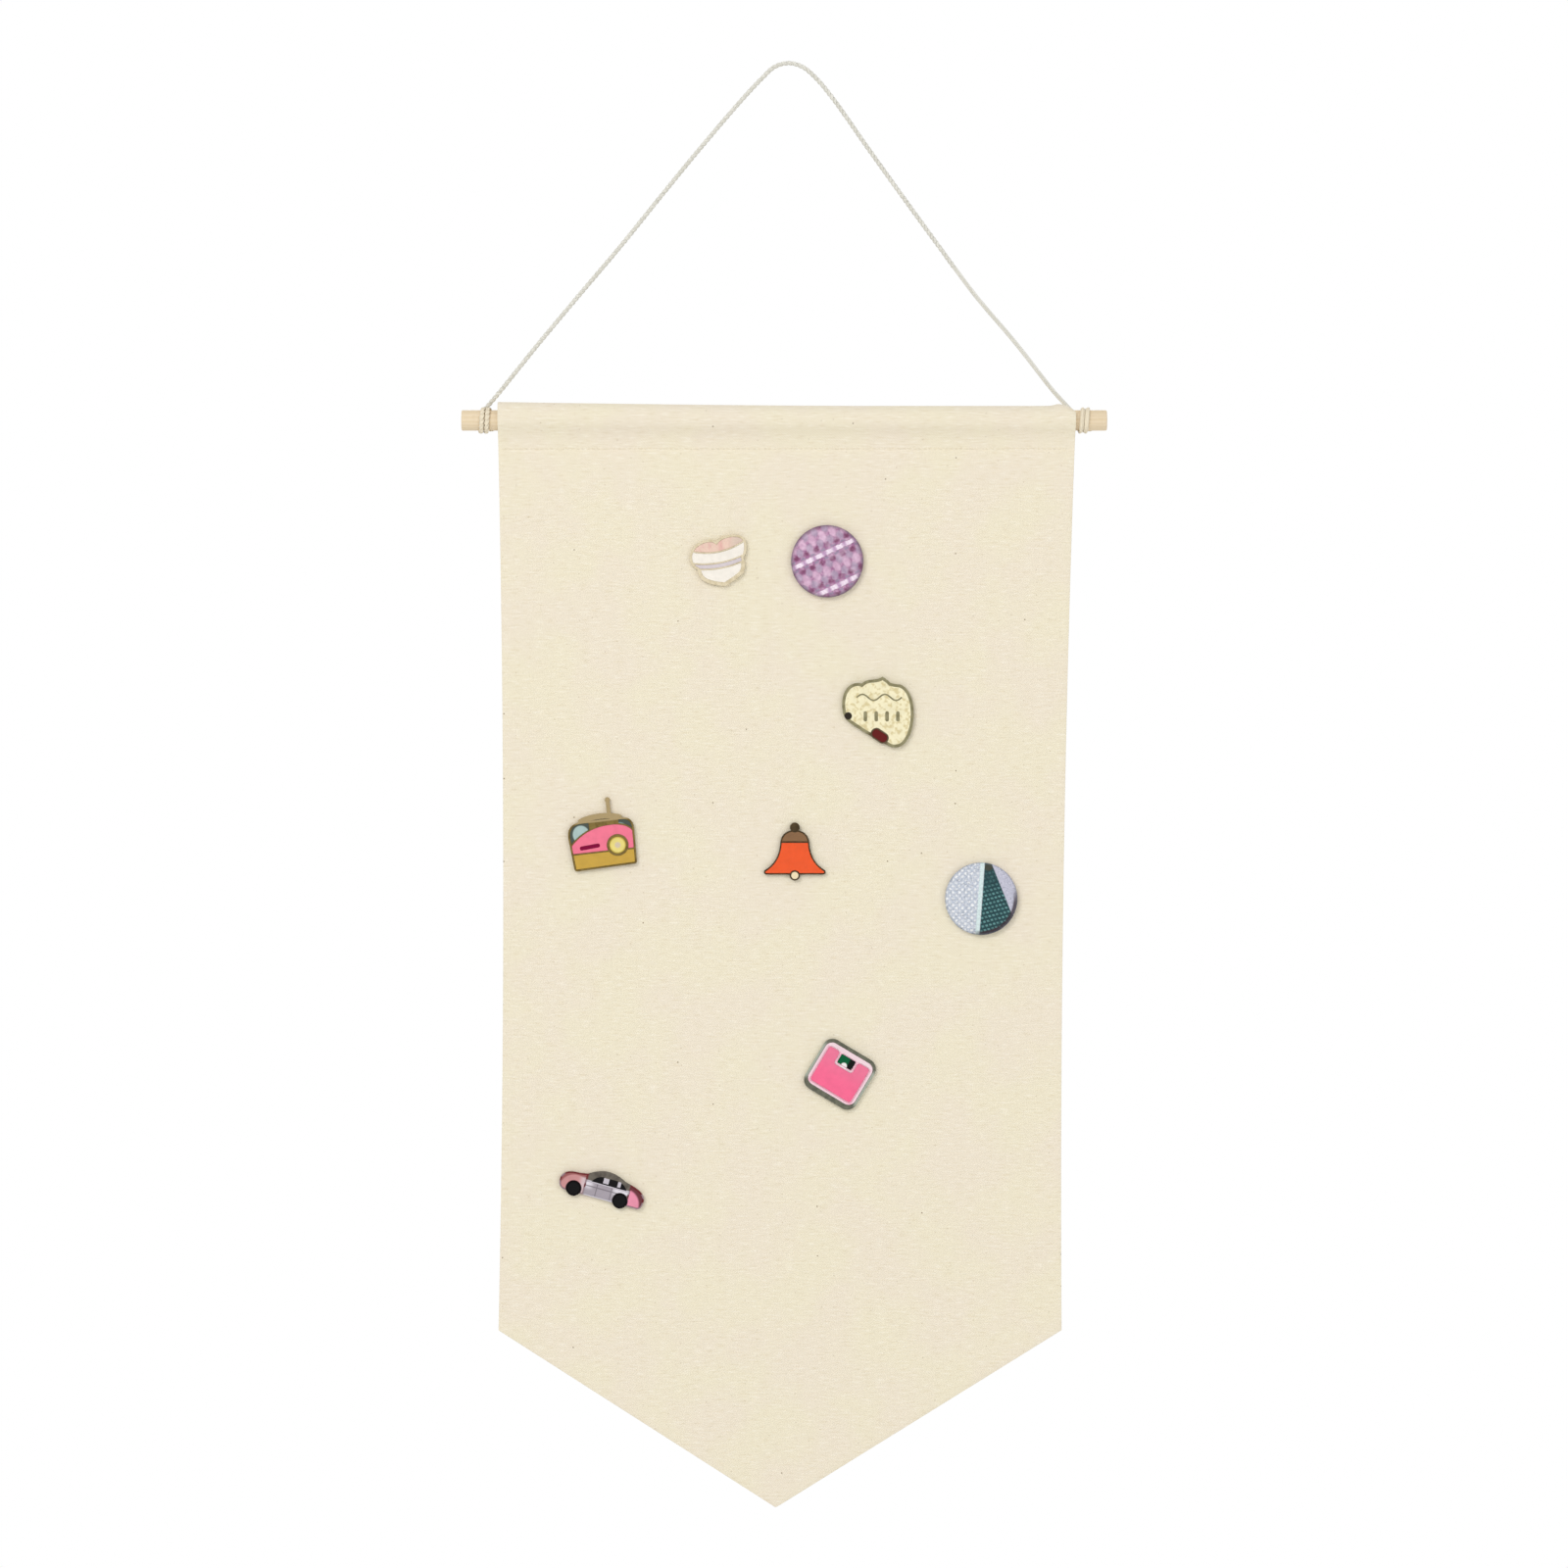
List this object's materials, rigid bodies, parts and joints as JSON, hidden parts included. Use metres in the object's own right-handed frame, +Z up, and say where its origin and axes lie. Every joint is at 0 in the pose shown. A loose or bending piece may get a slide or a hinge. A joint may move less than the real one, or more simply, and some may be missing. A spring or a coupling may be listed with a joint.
{
  "type": "pin badge board",
  "caption": "Canvas pennant sleeved on a dowel and hung by a cord, with pin badges held through the cloth by posts and clutches.",
  "frame": {"origin": "the hanging point, where the underside of the cord bears on a nail", "axes": "+Z up, +X to the viewer's right, -Y towards the viewer, so the badges face -Y"},
  "size_m": [0.299, 0.0169, 0.67],
  "materials": {
    "canvas": "natural cotton canvas, plain weave",
    "lining": "natural cotton canvas, plain weave",
    "wood": "raw sanded beech",
    "cord": "twisted cotton cord",
    "clutch_metal": "pressed and plated",
    "gold_metal": "antique gold plate",
    "pale_metal": "pale gold plate",
    "dark_metal": "black nickel plate",
    "brown_metal": "antique bronze plate",
    "tin": "tinplate",
    "tweed_cloth": "woven tweed check",
    "knit_cloth": "knitted patchwork",
    "enamel_sweet_top": "hard enamel",
    "enamel_sweet_upper_band": "hard enamel",
    "enamel_sweet_filling": "hard enamel",
    "enamel_sweet_lower_band": "hard enamel",
    "enamel_bubble_face": "hard enamel",
    "enamel_bubble_patch": "hard enamel",
    "enamel_radio_face": "hard enamel",
    "enamel_radio_skirt": "hard enamel",
    "enamel_radio_window_left": "hard enamel",
    "enamel_radio_window_right": "hard enamel",
    "enamel_radio_dial": "hard enamel",
    "enamel_bell_skirt": "hard enamel",
    "enamel_bell_crown": "hard enamel",
    "enamel_bell_clapper": "hard enamel",
    "enamel_scale_border": "hard enamel",
    "enamel_scale_plate": "hard enamel",
    "enamel_scale_window": "hard enamel",
    "enamel_car_tail": "hard enamel",
    "enamel_car_doors": "hard enamel",
    "enamel_car_nose": "hard enamel",
    "enamel_car_glass": "hard enamel",
    "enamel_car_wheel_rear": "hard enamel",
    "enamel_car_wheel_front": "hard enamel"
  },
  "bodies": {
    "hanger": {"cord_span": "cord", "left_winding": "cord", "right_winding": "cord", "dowel": "wood"},
    "banner": {"front_panel": "canvas", "back_panel": "lining"},
    "sweet_pin": {"sweet_back": "pale_metal", "sweet_top": "enamel_sweet_top", "sweet_upper_band": "enamel_sweet_upper_band", "sweet_filling": "enamel_sweet_filling", "sweet_lower_band": "enamel_sweet_lower_band"},
    "sweet_clutch": {"sweet_clutch_cap": "clutch_metal", "sweet_clutch_wings": "clutch_metal"},
    "tweed_pin": {"tweed_cover": "tweed_cloth", "tweed_shell": "tin", "tweed_back": "tin"},
    "tweed_clutch": {"tweed_clutch_cap": "clutch_metal", "tweed_clutch_wings": "clutch_metal"},
    "bubble_pin": {"bubble_back": "gold_metal", "bubble_face": "enamel_bubble_face", "bubble_patch": "enamel_bubble_patch"},
    "bubble_clutch": {"bubble_clutch_cap": "clutch_metal", "bubble_clutch_wings": "clutch_metal"},
    "radio_pin": {"radio_back": "gold_metal", "radio_face": "enamel_radio_face", "radio_skirt": "enamel_radio_skirt", "radio_window_left": "enamel_radio_window_left", "radio_window_right": "enamel_radio_window_right", "radio_dial": "enamel_radio_dial"},
    "radio_clutch": {"radio_clutch_cap": "clutch_metal", "radio_clutch_wings": "clutch_metal"},
    "bell_pin": {"bell_back": "brown_metal", "bell_skirt": "enamel_bell_skirt", "bell_crown": "enamel_bell_crown", "bell_clapper": "enamel_bell_clapper"},
    "bell_clutch": {"bell_clutch_cap": "clutch_metal", "bell_clutch_wings": "clutch_metal"},
    "knit_pin": {"knit_cover": "knit_cloth", "knit_shell": "tin", "knit_back": "tin"},
    "knit_clutch": {"knit_clutch_cap": "clutch_metal", "knit_clutch_wings": "clutch_metal"},
    "scale_pin": {"scale_back": "dark_metal", "scale_border": "enamel_scale_border", "scale_plate": "enamel_scale_plate", "scale_window": "enamel_scale_window"},
    "scale_clutch": {"scale_clutch_cap": "clutch_metal", "scale_clutch_wings": "clutch_metal"},
    "car_pin": {"car_back": "dark_metal", "car_tail": "enamel_car_tail", "car_doors": "enamel_car_doors", "car_nose": "enamel_car_nose", "car_glass": "enamel_car_glass", "car_wheel_rear": "enamel_car_wheel_rear", "car_wheel_front": "enamel_car_wheel_front"},
    "car_rear_clutch": {"car_rear_clutch_cap": "clutch_metal", "car_rear_clutch_wings": "clutch_metal"},
    "car_front_clutch": {"car_front_clutch_cap": "clutch_metal", "car_front_clutch_wings": "clutch_metal"}
  },
  "joints": [
    {"name": "banner_swing", "type": "hinge", "parent": "hanger", "child": "banner", "pos_m": [-0.0026, 0, -0.1645], "axis": [-1, 0, 0], "range_deg": [-30, 100]},
    {"name": "sweet_turn", "type": "hinge", "parent": "banner", "child": "sweet_clutch", "pos_m": [-0.0327, -0.00185, -0.229], "axis": [0, -1, 0], "continuous": true},
    {"name": "sweet_pull", "type": "slide", "parent": "sweet_clutch", "child": "sweet_pin", "axis": [0, -1, 0], "range_m": [0, 0.01]},
    {"name": "tweed_turn", "type": "hinge", "parent": "banner", "child": "tweed_clutch", "pos_m": [0.0177, -0.00185, -0.2299], "axis": [0, -1, 0], "continuous": true},
    {"name": "tweed_pull", "type": "slide", "parent": "tweed_clutch", "child": "tweed_pin", "axis": [0, -1, 0], "range_m": [0, 0.01]},
    {"name": "bubble_turn", "type": "hinge", "parent": "banner", "child": "bubble_clutch", "pos_m": [0.0418, -0.00185, -0.3003], "axis": [0, -1, 0], "continuous": true},
    {"name": "bubble_pull", "type": "slide", "parent": "bubble_clutch", "child": "bubble_pin", "axis": [0, -1, 0], "range_m": [0, 0.01]},
    {"name": "radio_turn", "type": "hinge", "parent": "banner", "child": "radio_clutch", "pos_m": [-0.0863, -0.00185, -0.3607], "axis": [0, -1, 0], "continuous": true},
    {"name": "radio_pull", "type": "slide", "parent": "radio_clutch", "child": "radio_pin", "axis": [0, -1, 0], "range_m": [0, 0.01]},
    {"name": "bell_turn", "type": "hinge", "parent": "banner", "child": "bell_clutch", "pos_m": [0.0027, -0.00185, -0.3639], "axis": [0, -1, 0], "continuous": true},
    {"name": "bell_pull", "type": "slide", "parent": "bell_clutch", "child": "bell_pin", "axis": [0, -1, 0], "range_m": [0, 0.01]},
    {"name": "knit_turn", "type": "hinge", "parent": "banner", "child": "knit_clutch", "pos_m": [0.089, -0.00185, -0.3861], "axis": [0, -1, 0], "continuous": true},
    {"name": "knit_pull", "type": "slide", "parent": "knit_clutch", "child": "knit_pin", "axis": [0, -1, 0], "range_m": [0, 0.01]},
    {"name": "scale_turn", "type": "hinge", "parent": "banner", "child": "scale_clutch", "pos_m": [0.0236, -0.00185, -0.4674], "axis": [0, -1, 0], "continuous": true},
    {"name": "scale_pull", "type": "slide", "parent": "scale_clutch", "child": "scale_pin", "axis": [0, -1, 0], "range_m": [0, 0.01]},
    {"name": "car_pull", "type": "slide", "parent": "banner", "child": "car_pin", "axis": [0, -1, 0], "range_m": [0, 0.01]},
    {"name": "car_rear_clutch_pull", "type": "slide", "parent": "banner", "child": "car_rear_clutch", "axis": [0, 1, 0], "range_m": [0, 0.01]},
    {"name": "car_front_clutch_pull", "type": "slide", "parent": "banner", "child": "car_front_clutch", "axis": [0, 1, 0], "range_m": [0, 0.01]}
  ]
}
